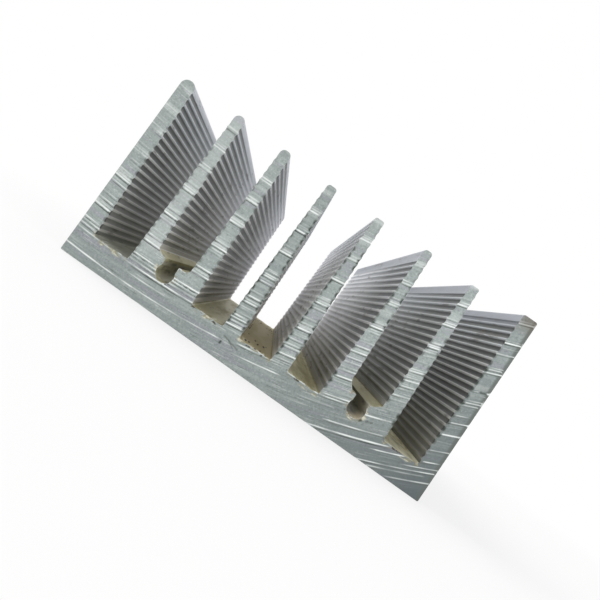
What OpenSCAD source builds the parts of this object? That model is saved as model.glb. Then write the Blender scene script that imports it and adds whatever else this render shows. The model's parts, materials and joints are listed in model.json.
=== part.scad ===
// Extruded aluminium heat sink, cut from the bar with a saw.
//
// One constant section runs along Y. It is drawn here across X, with its height
// up. A flat base carries a row of tapered fins, and the two outer fins stand
// flush with the sides of the base. Every face that looks into a gap is fluted,
// which gives the air more surface. Two of the gaps have a screw channel at
// their foot, which takes the thread-forming screws of an end plate.
// The origin is in the middle of the underside.

/* [Bar] */
// Width across the base
width = 80; // [72:0.5:120]
// Length that the bar is cut to
length = 100; // [20:1:300]
// Height from the underside to the tips of the outer fins
height = 39.5; // [28:0.5:60]
// Thickness of the base
base_t = 5.5; // [4.5:0.1:6.5]

/* [Fins] */
// Number of fins, with the two outer ones
fins = 8; // [6:1:8]
// Thickness of an inner fin at its root
root_t = 3.7; // [3:0.05:4.2]
// Thickness of an inner fin at its tip
tip_t = 2; // [1.8:0.05:2.8]
// Thickness of an outer fin at its root
side_root_t = 3.75; // [3.2:0.05:5]
// Thickness of an outer fin at its tip
side_tip_t = 2.95; // [2.7:0.05:3.15]
// How much wider the two outer gaps are than the others
side_gap_extra = 0.5; // [0:0.1:1]
// Radius in the corners at the feet of the fins
foot_r = 0.4; // [0.2:0.05:0.6]

/* [Fin tips] */
// How far the middle tips stand below the outer ones
tip_sag = 1.1; // [0:0.1:2]
// Number of fins with a domed tip, counted from the left
domed_fins = 3; // [0:1:6]
// Corner radius of a domed tip on an inner fin
dome_r = 0.85; // [0.5:0.05:0.9]
// Corner radius of a domed tip on an outer fin
side_dome_r = 1.25; // [0.8:0.05:1.3]
// Corner radius of a flat tip
flat_r = 0.35; // [0.2:0.05:0.8]

/* [Flutes] */
// Distance from one flute to the next
flute_pitch = 1.46; // [1.4:0.02:2]
// Depth from the crest of a rib to the bottom of a flute
flute_depth = 0.22; // [0.16:0.02:0.24]
// Radius of a rib, and of the flute beside it
flute_r = 0.52; // [0.46:0.01:0.55]
// Plain strip from the outer tips' height to the middle of the first flute
flute_top = 2.1; // [2:0.1:5]
// Plain strip from the foot of a gap to the flutes
flute_foot = 1; // [0.8:0.1:3]

/* [Screw channels] */
// Gap that holds a channel, counted from each side
channel_gap = 2; // [2:1:3]
// Diameter of the round channel
channel_d = 3.65; // [3.3:0.05:4.2]
// Height of its middle above the top of the base
channel_rise = 1.8; // [1.6:0.1:3]
// Width of its open mouth
mouth_w = 3.05; // [2:0.05:3.1]
// Height of the lips above the middle of the channel
lip_rise = 2.2; // [2.1:0.1:4]
// Width of the flat lip on the outer side of the mouth
outer_lip_w = 0.3; // [0.2:0.1:0.6]
// Width of the flat lip on the inner side of the mouth
inner_lip_w = 1.1; // [0.8:0.1:1.3]
// Slope of the flank that climbs from the outer lip to its fin
outer_flank_angle = 34; // [20:1:42]
// Slope of the flank that climbs from the inner lip to its fin
inner_flank_angle = 50; // [30:1:55]

/* [Hidden] */
$fn = 48;

// How far one shape of the section is let into the shape that carries it
weld = 0.7;
// A round meets a leaning face at a clean edge, because its middle lies this share
// of its radius from the face
let_in = 0.98;

// All gaps have the same width at the foot, apart from the extra at the sides
gap_w = (width - 2 * side_root_t - (fins - 2) * root_t - 2 * side_gap_extra) / (fins - 1);
fin_pitch = gap_w + root_t;
last_fin = fins - 1;

// How far a face leans back for each millimetre that it climbs
lean = (root_t - tip_t) / 2 / (height - base_t);
side_lean = (side_root_t - side_tip_t) / (height - base_t);

channel_z = base_t + channel_rise;
lip_z = channel_z + lip_rise;
outer_lip_x = mouth_w / 2 + outer_lip_w;
inner_lip_x = mouth_w / 2 + inner_lip_w;
flank_z = max(outer_flank(gap_w / 2), inner_flank(gap_w / 2));

// Fins and gaps count from 0 at the left, and gap i lies to the right of fin i
function is_side(i) = i == 0 || i == last_fin;
function has_channel(gap) = gap == channel_gap - 1 || gap == last_fin - channel_gap;
function fin_x(i) = (i - last_fin / 2) * fin_pitch;
function gap_x(gap) = fin_x(gap) + fin_pitch / 2;

// Heights of the two flanks of a channel at the distance x from its middle
function outer_flank(x) = lip_z + (x - outer_lip_x) * tan(outer_flank_angle);
function inner_flank(x) = lip_z + (x - inner_lip_x) * tan(inner_flank_angle);

// The face of fin i that looks right at height z, and its mirror image
function right_face(i, z) = i == 0
    ? side_root_t - width / 2 - side_lean * (z - base_t)
    : i == last_fin ? width / 2 : fin_x(i) + root_t / 2 - lean * (z - base_t);
function left_face(i, z) = -right_face(last_fin - i, z);

// The tips follow a shallow bow, lowest in the middle of the bar
function tip_z(i) = is_side(i) ? height : height - tip_sag * (1 - pow(2 * fin_x(i) / width, 2));
function tip_r(i) = i >= domed_fins ? flat_r : is_side(i) ? side_dome_r : dome_r;

// Heights of the flutes along one gap, from the top down
function flute_heights(gap) =
    let (first = height - flute_top)
    let (foot = flute_foot + (has_channel(gap) ? flank_z : base_t))
    [for (k = [0 : floor((first - foot) / flute_pitch)]) first - k * flute_pitch];

// One fin without its flutes, let into the base
module plain_fin(i) {
    r = tip_r(i);
    shoulder = tip_z(i) - r;
    left_mid = left_face(i, shoulder) + r * (i == 0 ? 1 : let_in);
    right_mid = right_face(i, shoulder) - r * (i == last_fin ? 1 : let_in);
    polygon([
        [left_face(i, base_t), base_t - weld],
        [right_face(i, base_t), base_t - weld],
        [right_face(i, base_t), base_t],
        [right_face(i, shoulder), shoulder],
        [left_face(i, shoulder), shoulder],
        [left_face(i, base_t), base_t]
    ]);
    translate([left_mid, shoulder - weld])
        square([right_mid - left_mid, r + weld]);
    for (x = [left_mid, right_mid])
        translate([x, shoulder]) circle(r);
}

// Circles along one gap's face of fin i: side is 1 on its right face and -1 on its left.
// They stand half a flute's depth through the face, from the inside as ribs or from
// the outside as flutes.
module face_circles(i, side, ribs) {
    heights = flute_heights(side > 0 ? i : i - 1);
    inset = (flute_r - flute_depth / 2) * (ribs ? -side : side);
    drop = ribs ? flute_pitch / 2 : 0;
    for (k = [0 : len(heights) - (ribs ? 2 : 1)]) {
        z = heights[k] - drop;
        face = side > 0 ? right_face(i, z) : left_face(i, z);
        translate([face + inset, z]) circle(flute_r);
    }
}

// Circles on the faces of fin i that look into a gap
module fluting(i, ribs) {
    if (i > 0) face_circles(i, -1, ribs);
    if (i < last_fin) face_circles(i, 1, ribs);
}

module fin(i) {
    difference() {
        union() {
            plain_fin(i);
            fluting(i, true);
        }
        fluting(i, false);
    }
}

// Rounds the corner between the base and the right face of fin i
module right_foot(i) {
    face_lean = is_side(i) ? side_lean : lean;
    corner = [right_face(i, base_t), base_t];
    mid = corner + foot_r * let_in * [sqrt(1 + pow(face_lean, 2)) - face_lean, 1];
    difference() {
        translate(corner - [weld, weld]) square(mid - corner + [weld, weld]);
        translate(mid) circle(foot_r);
    }
}

// Fills the foot of a gap around its screw channel, up to the lips and flanks.
// The outer flank is the one toward the nearer side of the bar.
module channel_wall(gap) {
    on_left = gap < last_fin / 2;
    side_x = gap_w / 2 + weld;
    left_lip_x = on_left ? outer_lip_x : inner_lip_x;
    right_lip_x = on_left ? inner_lip_x : outer_lip_x;
    left_top = on_left ? outer_flank(side_x) : inner_flank(side_x);
    right_top = on_left ? inner_flank(side_x) : outer_flank(side_x);
    translate([gap_x(gap), 0]) polygon([
        [-side_x, base_t - weld],
        [side_x, base_t - weld],
        [side_x, right_top],
        [right_lip_x, lip_z],
        [-left_lip_x, lip_z],
        [-side_x, left_top]
    ]);
}

// The round channel with its mouth, open at the top
module channel_bore(gap) {
    translate([gap_x(gap), channel_z]) {
        circle(d = channel_d);
        translate([-mouth_w / 2, 0]) square([mouth_w, lip_rise + weld]);
    }
}

module section() {
    gaps = [0 : fins - 2];
    difference() {
        union() {
            translate([-width / 2, 0]) square([width, base_t]);
            for (i = [0 : last_fin]) fin(i);
            for (gap = gaps) {
                if (has_channel(gap)) channel_wall(gap);
                else {
                    right_foot(gap);
                    mirror([1, 0]) right_foot(last_fin - 1 - gap);
                }
            }
        }
        for (gap = gaps) if (has_channel(gap)) channel_bore(gap);
    }
}

module heat_sink() {
    color([0.66, 0.69, 0.68])
        rotate([90, 0, 0])
            linear_extrude(height = length, center = true)
                section();
}

heat_sink();
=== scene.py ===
"""The looks of an extruded aluminium heat sink: a sawn length of bar with eight fluted fins.

The bar is one closed mesh. Its section is drawn from the sizes below, and its two ends carry
the scores that a circular saw left in them, as real relief with painted highlights and shade.
Lengths inside the classes are in millimetres, and each mesh is scaled to metres when it is made.
"""
import json
import logging
import math
import random
from dataclasses import dataclass, field
from enum import Enum

import bpy
import numpy as np
from mathutils import Matrix, Vector
from mathutils.geometry import delaunay_2d_cdt


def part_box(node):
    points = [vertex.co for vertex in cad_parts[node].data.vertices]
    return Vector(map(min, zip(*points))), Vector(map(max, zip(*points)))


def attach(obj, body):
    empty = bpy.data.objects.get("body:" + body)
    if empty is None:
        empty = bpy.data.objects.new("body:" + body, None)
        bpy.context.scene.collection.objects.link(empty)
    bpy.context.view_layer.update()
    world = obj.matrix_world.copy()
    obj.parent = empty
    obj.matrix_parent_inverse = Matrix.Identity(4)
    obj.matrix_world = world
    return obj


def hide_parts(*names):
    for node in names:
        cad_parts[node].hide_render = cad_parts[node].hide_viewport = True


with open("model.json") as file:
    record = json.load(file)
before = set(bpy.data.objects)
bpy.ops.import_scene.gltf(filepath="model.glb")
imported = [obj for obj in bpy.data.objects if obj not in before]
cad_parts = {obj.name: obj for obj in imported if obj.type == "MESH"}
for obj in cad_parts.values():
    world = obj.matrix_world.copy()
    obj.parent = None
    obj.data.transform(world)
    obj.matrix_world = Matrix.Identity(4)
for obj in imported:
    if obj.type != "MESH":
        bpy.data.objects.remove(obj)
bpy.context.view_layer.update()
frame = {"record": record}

MM = 0.001

logger = logging.getLogger("heat_sink")

Colour = tuple[float, float, float]
Point = tuple[float, float]
Node = bpy.types.Node
Socket = bpy.types.NodeSocket
Tree = bpy.types.NodeTree
Material = bpy.types.Material

EDGE_TINT: Colour = (0.68, 0.71, 0.75)


class Surface(Enum):
    """The kinds of surface on the bar, in the order of their material slots."""

    SAWN = 0
    FLUTED = 1
    STAINED = 2
    OUTSIDE = 3


class End(Enum):
    """The two sawn ends of the bar: the sign of Y that each looks along."""

    FRONT = -1
    BACK = 1


# ---------------------------------------------------------------- section


@dataclass
class Outline:
    """The closed outline of the section, clockwise from its lower left corner.

    Attributes:
        x: Places across the bar.
        z: Heights above the underside.
        kind: The kind of surface that runs from each point to the next.
        groove: How deep each point lies in a flute, from 0 on a rib to 1 at the bottom.
        burr: How ragged the sawn edge is at each point, from 0 to 1.
    """

    x: list[float] = field(default_factory=list)
    z: list[float] = field(default_factory=list)
    kind: list[Surface] = field(default_factory=list)
    groove: list[float] = field(default_factory=list)
    burr: list[float] = field(default_factory=list)

    def add(self, x: float, z: float, kind: Surface, groove: float = 0.0, burr: float = 0.0) -> None:
        """Adds one point, unless it lies on the last one.

        Args:
            x: Its place across the bar.
            z: Its height above the underside.
            kind: The surface from this point to the next.
            groove: How deep it lies in a flute.
            burr: How ragged the sawn edge is here.
        """
        if self.x and math.hypot(x - self.x[-1], z - self.z[-1]) < 0.01:
            return
        self.x.append(x)
        self.z.append(z)
        self.kind.append(kind)
        self.groove.append(groove)
        self.burr.append(burr)

    def line(
        self, start: Point, end: Point, kind: Surface, step: float = 0.25, burr: float = 0.0, sag: float = 0.0
    ) -> None:
        """Adds a run of points from start to end, both included.

        Args:
            start: The first point, as (x, z).
            end: The last point.
            kind: The surface that the run makes.
            step: The greatest distance between two points.
            burr: How ragged the sawn edge is here.
            sag: How far the middle of the run lies below the straight line.
        """
        length = math.hypot(end[0] - start[0], end[1] - start[1])
        count = max(1, math.ceil(length / step))
        for k in range(count + 1):
            t = k / count
            x = start[0] + (end[0] - start[0]) * t
            z = start[1] + (end[1] - start[1]) * t - 4 * sag * t * (1 - t)
            self.add(x, z, kind, burr=burr)

    def arc(
        self, centre: Point, radius: float, turn: Point, kind: Surface, step: float = 0.15, burr: float = 0.0
    ) -> None:
        """Adds a run of points round centre, from the first to the second angle of turn in degrees.

        Args:
            centre: Middle of the arc.
            radius: Its radius.
            turn: The angles at which it begins and ends.
            kind: The surface that it makes.
            step: The greatest distance between two points.
            burr: How ragged the sawn edge is here.
        """
        start, end = turn
        count = max(3, math.ceil(abs(math.radians(end - start)) * radius / step))
        for k in range(count + 1):
            a = math.radians(start + (end - start) * k / count)
            self.add(centre[0] + radius * math.cos(a), centre[1] + radius * math.sin(a), kind, burr=burr)

    def points(self) -> np.ndarray:
        """The outline's points, one (x, z) row each."""
        return np.column_stack([self.x, self.z])

    def lining(self, distance: float, fluted: bool = False) -> list[Point]:
        """Points just inside the ragged stretches, which keep a burr from spreading over the cut.

        Args:
            distance: How far inside the outline the points lie.
            fluted: Whether to line the bottoms of the flutes instead.

        Returns:
            The points, as (x, z).
        """
        points = self.points()
        way = np.roll(points, -1, 0) - np.roll(points, 1, 0)
        way /= np.hypot(way[:, 0], way[:, 1])[:, None]
        inner = points + distance * np.column_stack([way[:, 1], -way[:, 0]])
        lined = np.array(self.groove) > 0.5 if fluted else np.array(self.burr) > 0.1
        kept = lined & self.holds(inner[:, 0], inner[:, 1], distance * 0.6)
        return [tuple(p) for p in inner[kept].tolist()]

    def holds(self, x: np.ndarray, z: np.ndarray, margin: float = 0.0) -> np.ndarray:
        """Which of some points lie inside the outline.

        Args:
            x: Places across the bar.
            z: Heights.
            margin: How far inside the outline a point has to be.

        Returns:
            One truth value for each point.
        """
        px, pz = np.array(self.x), np.array(self.z)
        qx, qz = np.roll(px, -1), np.roll(pz, -1)
        slope = (qx - px) / np.where(qz == pz, 1e-9, qz - pz)
        inside = np.ones(len(x), bool)
        shifts = [(margin, 0), (-margin, 0), (0, margin), (0, -margin)] if margin else [(0, 0)]
        for dx, dz in shifts:
            for part in np.array_split(np.arange(len(x)), max(1, len(x) // 1500)):
                u, w = (x[part] + dx)[:, None], (z[part] + dz)[:, None]
                spans = (pz > w) != (qz > w)
                crossed = spans & (u < px + (w - pz) * slope)
                inside[part] &= crossed.sum(1) % 2 == 1
        return inside


@dataclass(frozen=True)
class Flank:
    """The slope between a fin and the lip of a screw channel.

    Attributes:
        top: Height at which the slope leaves the fin.
        lip: Height of the lip.
        reach: Width of the level lip beside the mouth.
        sag: How far the slope is hollowed.
    """

    top: float
    lip: float
    reach: float
    sag: float


@dataclass
class Section:
    """The section of the extruded bar.

    Attributes:
        width: Width of the bar.
        height: Height of the side fins.
        base: Thickness of the base under the gaps.
        fins: Number of fins.
        root: Thickness of an inner fin at its root.
        tips: Thickness of each fin at its tip, from the left; the first and last are of the side fins.
        side_root: Thickness of a side fin at its root.
        side_gap_extra: How much wider the two outer gaps are.
        foot: Radius in the corners of the plain gaps.
        pitch: Distance from flute to flute.
        depth: Depth of a flute.
        rib_width: How wide the ribs are: 2 makes them as wide as the flutes, 1 leaves sharp edges.
        first_flute: How far the first flute lies below the height of the side fins.
        flute_foot: Plain height below the last flute.
        tip_heights: Height of each fin, from the left.
        tip_rounds: Radius at the corners of each tip, from the left.
        late_faces: Fins whose left face starts one flute lower.
        slips: How much lower the flutes of each fin lie, from the left.
        faintness: How high the ribs are on the faces that look away from the middle.
        channel_x: Distance of the screw channels from the middle.
        channel_z: Height of their axes.
        channel_r: Their radius.
        mouth: Width of their mouths.
        flanks: The four slopes beside the mouths, from the left.
    """

    width: float
    height: float
    base: float = 5.5
    fins: int = 8
    root: float = 3.7
    tips: tuple[float, ...] = (2.95, 2.2, 2.15, 1.95, 1.85, 1.65, 1.7, 2.95)
    side_root: float = 3.75
    side_gap_extra: float = 0.5
    foot: float = 0.4
    pitch: float = 1.48
    depth: float = 0.22
    rib_width: float = 1.3
    first_flute: float = 2.26
    flute_foot: float = 0.25
    tip_heights: tuple[float, ...] = (39.45, 39.4, 39.0, 38.4, 38.4, 38.8, 38.25, 39.3)
    tip_rounds: tuple[float, ...] = (1.4, 1.05, 1.0, 0.6, 0.45, 0.65, 0.35, 0.4)
    late_faces: tuple[int, ...] = (5, 6)
    slips: tuple[float, ...] = (0.0, 0.15, 0.4, 0.3, 0.2, 0.15, 0.0, 0.0)
    faintness: float = 0.55
    channel_x: float = 21.486
    channel_z: float = 7.3
    channel_r: float = 1.825
    mouth: float = 3.05
    flanks: tuple[Flank, ...] = (
        Flank(10.6, 9.7, 0.1, 0.25),
        Flank(10.2, 9.55, 1.3, 0.0),
        Flank(11.3, 9.5, 1.0, 0.1),
        Flank(10.4, 9.15, 0.1, 0.1),
    )

    @property
    def last(self) -> int:
        """The number of the last fin, counted from 0."""
        return self.fins - 1

    @property
    def gap_width(self) -> float:
        """Width of an inner gap at its floor."""
        solid = (self.fins - 2) * self.root + 2 * self.side_root + 2 * self.side_gap_extra
        return (self.width - solid) / self.last

    def fin_x(self, fin: int) -> float:
        """Middle of an inner fin, from the middle of the bar."""
        return (fin - self.last / 2) * (self.gap_width + self.root)

    def is_side(self, fin: int) -> bool:
        """Whether a fin is one of the two at the sides."""
        return fin in (0, self.last)

    def right_face(self, fin: int, z: float) -> float:
        """Where the plain face of a fin that looks right lies at the height z.

        Args:
            fin: The fin, counted from 0.
            z: The height.

        Returns:
            The place across the bar.
        """
        climb = (z - self.base) / (self.height - self.base)
        if fin == 0:
            return self.side_root - self.width / 2 - (self.side_root - self.tips[fin]) * climb
        if fin == self.last:
            return self.width / 2
        return self.fin_x(fin) + self.root / 2 - (self.root - self.tips[fin]) / 2 * climb

    def left_face(self, fin: int, z: float) -> float:
        """Where the plain face of a fin that looks left lies at the height z.

        Args:
            fin: The fin, counted from 0.
            z: The height.

        Returns:
            The place across the bar.
        """
        if self.is_side(fin):
            return -self.right_face(self.last - fin, z)
        return 2 * self.fin_x(fin) - self.right_face(fin, z)

    def has_channel(self, gap: int) -> bool:
        """Whether a gap holds a screw channel at its foot."""
        return gap in (1, self.last - 2)

    def flute(self, z: float, top: float, foot: float) -> float:
        """How deep a face lies in its flutes at the height z.

        Args:
            z: The height.
            top: Height of the middle of the first flute.
            foot: Height where the flutes have to end.

        Returns:
            1 at the bottom of a flute, -1 on a rib and 0 on the plain face.
        """
        count = math.floor((top - foot) / self.pitch)
        phase = (top - z) / self.pitch
        if phase < -0.25 or phase > count + 0.25:
            return 0.0
        return 2 * abs(math.cos(math.pi * phase)) ** self.rib_width - 1

    def face(self, outline: Outline, fin: int, side: int, foot: float) -> None:
        """Adds the fluted face of a fin, downward on its right side and upward on its left.

        Args:
            outline: The outline to add to.
            fin: The fin, counted from 0.
            side: 1 for its right face and -1 for its left.
            foot: Height at which the face ends.
        """
        shoulder = self.tip_heights[fin] - self.tip_rounds[fin]
        first = self.height - self.first_flute - self.slips[fin]
        if side < 0 and fin in self.late_faces:
            first -= self.pitch
        count = math.ceil((shoulder - foot) / (self.pitch / 11))
        heights = [shoulder + (foot - shoulder) * k / count for k in range(count + 1)]
        for z in heights if side > 0 else reversed(heights):
            plain = self.right_face(fin, z) if side > 0 else self.left_face(fin, z)
            depth = self.flute(z, first, foot + self.flute_foot)
            outward = side * (fin - self.last / 2) > 0
            x = plain - side * depth * self.depth / 2 * (self.faintness if outward else 1)
            outline.add(x, z, Surface.FLUTED, groove=(depth + 1) / 2 if depth else 0.3)

    def crown(self, outline: Outline, fin: int) -> None:
        """Adds the rounded tip of a fin, from left to right.

        Args:
            outline: The outline to add to.
            fin: The fin, counted from 0.
        """
        radius = self.tip_rounds[fin]
        shoulder = self.tip_heights[fin] - radius
        left = self.left_face(fin, shoulder) + radius
        right = self.right_face(fin, shoulder) - radius
        outline.arc((left, shoulder), radius, (180, 90), Surface.FLUTED, burr=0.15)
        outline.arc((right, shoulder), radius, (90, 0), Surface.FLUTED, burr=0.15)

    def floor(self, outline: Outline, gap: int) -> None:
        """Adds the rounded floor of a plain gap, from left to right.

        Args:
            outline: The outline to add to.
            gap: The gap, counted from 0.
        """
        left = self.right_face(gap, self.base) + self.foot
        right = self.left_face(gap + 1, self.base) - self.foot
        mid = self.base + self.foot
        outline.arc((left, mid), self.foot, (180, 270), Surface.STAINED, burr=0.6)
        outline.line((left, self.base), (right, self.base), Surface.STAINED, 0.2, burr=1.0)
        outline.arc((right, mid), self.foot, (270, 360), Surface.STAINED, burr=0.6)

    def channel(self, outline: Outline, gap: int) -> None:
        """Adds the foot of a gap with its flanks, lips and screw channel, from left to right.

        Args:
            outline: The outline to add to.
            gap: The gap, counted from 0.
        """
        side = -1 if gap < self.last / 2 else 1
        centre = (side * self.channel_x, self.channel_z)
        left, right = self.flanks[:2] if side < 0 else self.flanks[2:]
        half = self.mouth / 2
        rise = math.sqrt(self.channel_r**2 - half**2)
        open_angle = math.degrees(math.atan2(rise, half))
        turn = (180 - open_angle, 360 + open_angle)
        left_rim, right_rim = centre[0] - half, centre[0] + half
        left_lip, right_lip = left_rim - left.reach, right_rim + right.reach
        start = (self.right_face(gap, left.top), left.top)
        end = (self.left_face(gap + 1, right.top), right.top)
        left_side = ((left_lip, left.lip), (left_rim, left.lip), (left_rim, centre[1] + rise))
        right_side = ((right_rim, centre[1] + rise), (right_rim, right.lip), (right_lip, right.lip))
        outline.line(start, left_side[0], Surface.STAINED, 0.2, 0.35, left.sag)
        for k, burr in enumerate((0.9, 0.5)):
            outline.line(left_side[k], left_side[k + 1], Surface.STAINED, 0.2, burr)
        outline.arc(centre, self.channel_r, turn, Surface.STAINED, 0.12, 0.7)
        for k, burr in enumerate((0.5, 0.9)):
            outline.line(right_side[k], right_side[k + 1], Surface.STAINED, 0.2, burr)
        outline.line(right_side[2], end, Surface.STAINED, 0.2, 0.35, right.sag)

    def gap_foot(self, gap: int, side: int) -> float:
        """Height at which the face beside a gap ends: side is 1 for the gap's left wall.

        Args:
            gap: The gap, counted from 0.
            side: 1 for the gap's left wall and -1 for its right.

        Returns:
            The height.
        """
        if not self.has_channel(gap):
            return self.base + self.foot
        pair = self.flanks[:2] if gap < self.last / 2 else self.flanks[2:]
        return pair[0].top if side > 0 else pair[1].top

    def outline(self) -> Outline:
        """Builds the closed outline.

        Returns:
            The outline, clockwise from the lower left corner.
        """
        outline = Outline()
        edge = self.width / 2
        corner = 0.15
        outline.line((-edge, corner), (-edge, self.tip_heights[0] - self.tip_rounds[0]), Surface.OUTSIDE, 0.5)
        for fin in range(self.fins):
            self.crown(outline, fin)
            if fin == self.last:
                break
            self.face(outline, fin, 1, self.gap_foot(fin, 1))
            if self.has_channel(fin):
                self.channel(outline, fin)
            else:
                self.floor(outline, fin)
            self.face(outline, fin + 1, -1, self.gap_foot(fin, -1))
        outline.line((edge, self.tip_heights[-1] - self.tip_rounds[-1]), (edge, corner), Surface.OUTSIDE, 0.5)
        outline.line((edge - corner, 0), (corner - edge, 0), Surface.OUTSIDE, 0.8)
        return outline


# ---------------------------------------------------------------- saw cut


@dataclass(frozen=True)
class Score:
    """One score that a tooth left across the cut.

    Attributes:
        level: Which arc it follows: its height at the lowest point of the arc.
        light: How bright the painted highlight on its crest is, from 0 to 1.
        start: Where it begins, from the left edge of the bar.
        end: Where it ends.
        width: Width of its bright crest.
    """

    level: float
    light: float
    start: float = -5.0
    end: float = 90.0
    width: float = 0.3


@dataclass
class SawCut:
    """The face that a circular saw left, with its arcs and scores.

    Attributes:
        radius: Radius of the arcs, which is the blade's.
        middle: Where the arc of level 0 is lowest, from the left edge of the bar.
        drift: How far that place moves to the right for each millimetre of level.
        edge: Where the left edge of the bar lies.
        scores: The scores in the cut.
        ridge: How far a full score stands out.
        furrow: How deep the furrow beside it is.
        step: Distance between two points along a score.
    """

    edge: float
    scores: tuple[Score, ...]
    radius: float = 172.8
    middle: float = 9.0
    drift: float = 0.375
    ridge: float = 0.035
    furrow: float = 0.06
    step: float = 0.42

    def height(self, level: float, x: np.ndarray) -> np.ndarray:
        """Height of an arc at the places x from the left edge."""
        middle = self.middle + self.drift * level
        return level + self.radius - np.sqrt(self.radius**2 - (x - middle) ** 2)

    def level(self, x: np.ndarray, z: np.ndarray) -> np.ndarray:
        """The level of the arc through each point, with x from the left edge.

        Args:
            x: Places from the left edge.
            z: Heights.

        Returns:
            The level of each point.
        """
        level = z.copy()
        for _ in range(5):
            middle = self.middle + self.drift * level
            level = z - self.radius + np.sqrt(self.radius**2 - (x - middle) ** 2)
        return level

    def strength(self, score: Score, x: np.ndarray) -> np.ndarray:
        """How strong a score is along its way: it fades at its ends and flickers between.

        Args:
            score: The score.
            x: Places from the left edge.

        Returns:
            The strength at each place.
        """
        fade = np.clip((x - score.start) / 1.5, 0, 1) * np.clip((score.end - x) / 1.5, 0, 1)
        phase = score.level * 7.3
        flicker = 0.7 + 0.22 * np.sin(x * 0.43 + phase) + 0.16 * np.sin(x * 1.37 + 2.1 * phase)
        return fade * flicker

    def at(self, x: np.ndarray, z: np.ndarray) -> tuple[np.ndarray, np.ndarray]:
        """Relief and painted light of the cut: painted highlights on the score crests, painted shade in the
        furrows.

        Args:
            x: Places from the left edge.
            z: Heights.

        Returns:
            How far each point stands out of the cut, and its painted brightness from -1 to 1.
        """
        level = self.level(x, z)
        relief, light = np.zeros(len(x)), np.zeros(len(x))
        for score in self.scores:
            away = (level - score.level) / score.width
            strength = score.light * self.strength(score, x)
            crest = np.clip(1 - np.abs(away) * 1.25, 0, 1)
            hollow = np.clip(1 - np.abs(away + 1.2) * 1.6, 0, 1)
            relief += strength * (self.ridge * crest - self.furrow * hollow)
            # Painted highlight along the crest, and painted shade in the furrow beside it.
            light = np.where(crest > 0, np.maximum(light, strength * crest), light)
            light = np.where((hollow > 0) & (light <= 0), -strength * hollow, light)
        return relief, light

    def rows(self, outline: Outline) -> tuple[list[Point], list[tuple[int, int]]]:
        """Points in rows along the scores, kept inside the section.

        Args:
            outline: The outline of the section.

        Returns:
            The points as (x, z), and the edges that join neighbours in a row.
        """
        points: list[Point] = []
        edges: list[tuple[int, int]] = []
        offsets = (-1.85, -1.2, -0.8, 0.0, 0.8)
        for score in self.scores:
            low, high = max(score.start, 0.1), min(score.end, -2 * self.edge - 0.1)
            x = np.arange(low, high, self.step)
            for offset in offsets:
                z = self.height(score.level + offset * score.width, x)
                inside = outline.holds(x + self.edge, z, 0.08)
                run: list[int] = []
                for k in range(len(x) + 1):
                    if k < len(x) and inside[k]:
                        run.append(k)
                        continue
                    kept = run if len(run) < 16 else run[:-1:2] + run[-1:]
                    first = len(points)
                    points += [(float(x[j] + self.edge), float(z[j])) for j in kept]
                    edges += [(first + j, first + j + 1) for j in range(len(kept) - 1)]
                    run = []
        return points, edges


# ---------------------------------------------------------------- bar


@dataclass
class Mark:
    """A dent or a gouge in the front end of the bar.

    Attributes:
        start: One end of it, as (x, z) from the middle of the underside.
        end: The other end.
        width: Its half width.
        depth: Its depth.
    """

    start: Point
    end: Point
    width: float
    depth: float

    def at(self, x: np.ndarray, z: np.ndarray) -> np.ndarray:
        """How deep the mark is at each point.

        Args:
            x: Places across the bar.
            z: Heights.

        Returns:
            The depth at each point.
        """
        dx, dz = self.end[0] - self.start[0], self.end[1] - self.start[1]
        along = np.clip(((x - self.start[0]) * dx + (z - self.start[1]) * dz) / (dx * dx + dz * dz), 0, 1)
        away = np.hypot(x - self.start[0] - along * dx, z - self.start[1] - along * dz)
        return self.depth * np.clip(1 - away / self.width, 0, 1)

    def points(self) -> list[Point]:
        """Points enough to carry the mark in a mesh.

        Returns:
            The points, as (x, z).
        """
        found = []
        length = math.hypot(self.end[0] - self.start[0], self.end[1] - self.start[1])
        count = max(1, math.ceil(length / self.width))
        for k in range(count + 1):
            t = k / count
            x = self.start[0] + (self.end[0] - self.start[0]) * t
            z = self.start[1] + (self.end[1] - self.start[1]) * t
            found.append((x, z))
            found += [
                (x + self.width * r * math.cos(a), z + self.width * r * math.sin(a))
                for r in (0.5, 1.0)
                for a in np.linspace(0, 2 * math.pi, 9)[:-1] + 0.3 * k
            ]
        return found


@dataclass(frozen=True)
class Cap:
    """The sawn face at one end of the bar.

    Attributes:
        inner: The points within the outline, as (x, y, z) rows.
        light: Their painted brightness.
        stain: How stained they are.
        rim: The outline's points at this end, with their burr.
        rim_light: Their painted brightness, with painted highlights on the burrs.
        triangles: The triangles, whose first indices count the rim's points and whose others the inner.
    """

    inner: np.ndarray
    light: np.ndarray
    stain: np.ndarray
    rim: np.ndarray
    rim_light: np.ndarray
    triangles: list[list[int]]


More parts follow.
